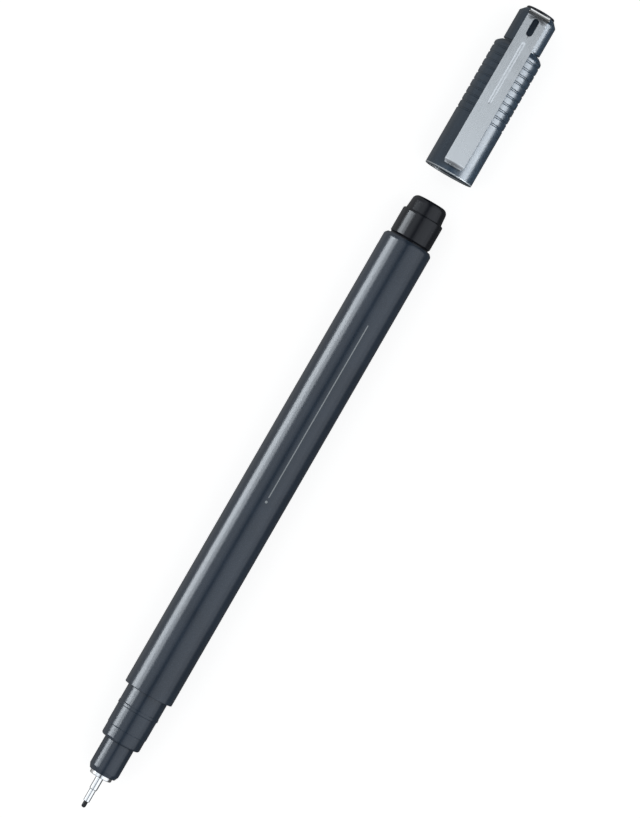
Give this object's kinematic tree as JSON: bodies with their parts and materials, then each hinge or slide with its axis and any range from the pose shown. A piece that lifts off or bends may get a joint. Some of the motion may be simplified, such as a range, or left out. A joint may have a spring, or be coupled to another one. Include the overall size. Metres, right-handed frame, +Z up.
{
  "type": "fineliner pen",
  "caption": "Fine-tip drawing pen with a metal-sleeved nib, stepped grip and straight barrel, its ribbed cap with a bent metal clip drawn off behind the black tail plug",
  "frame": {"origin": "on the surface the pen lies on, under the middle of its whole length with the cap drawn off", "axes": "+X along the pen from the nib to the cap's end, +Y to the left seen from the nib's end, +Z up with the pocket clip on top"},
  "size_m": [0.1708, 0.0098, 0.0111],
  "materials": {
    "barrel_plastic": "slate blue-grey moulded plastic with a pearl sheen, smooth semi-gloss",
    "cap_plastic": "slate blue-grey moulded plastic with a pearl sheen, smooth semi-gloss",
    "black_plastic": "black moulded plastic, semi-gloss",
    "tip_metal": "polished stainless steel",
    "clip_metal": "satin silver plate over pressed steel",
    "nib_plastic": "dark inked polymer point",
    "inner_plastic": "natural moulded polypropylene",
    "ink_fibre": "bonded fibre soaked with black ink",
    "clear_film": "thin clear wrap"
  },
  "bodies": {
    "pen": {"barrel": "barrel_plastic", "grip_section": "barrel_plastic", "nose_cone": "barrel_plastic", "tip_collar": "tip_metal", "nib_sleeve": "tip_metal", "nib": "nib_plastic", "nib_holder": "inner_plastic", "relay_wick": "ink_fibre", "reservoir_core": "ink_fibre", "reservoir_film": "clear_film", "tail_plug": "black_plastic"},
    "cap": {"cap_shell": "cap_plastic", "inner_cap": "inner_plastic", "crown_plug": "black_plastic"},
    "clip": {"pocket_clip": "clip_metal"}
  },
  "joints": [
    {"name": "cap_slide", "type": "slide", "parent": "pen", "child": "cap", "axis": [-1, 0, 0], "range_m": [0, 0.0145]},
    {"name": "clip_flex", "type": "hinge", "parent": "cap", "child": "clip", "pos_m": [0.0849, 0, 0.00785], "axis": [0, 1, 0], "range_deg": [0, 3], "stiffness_Nm_per_rad": 1.2}
  ]
}
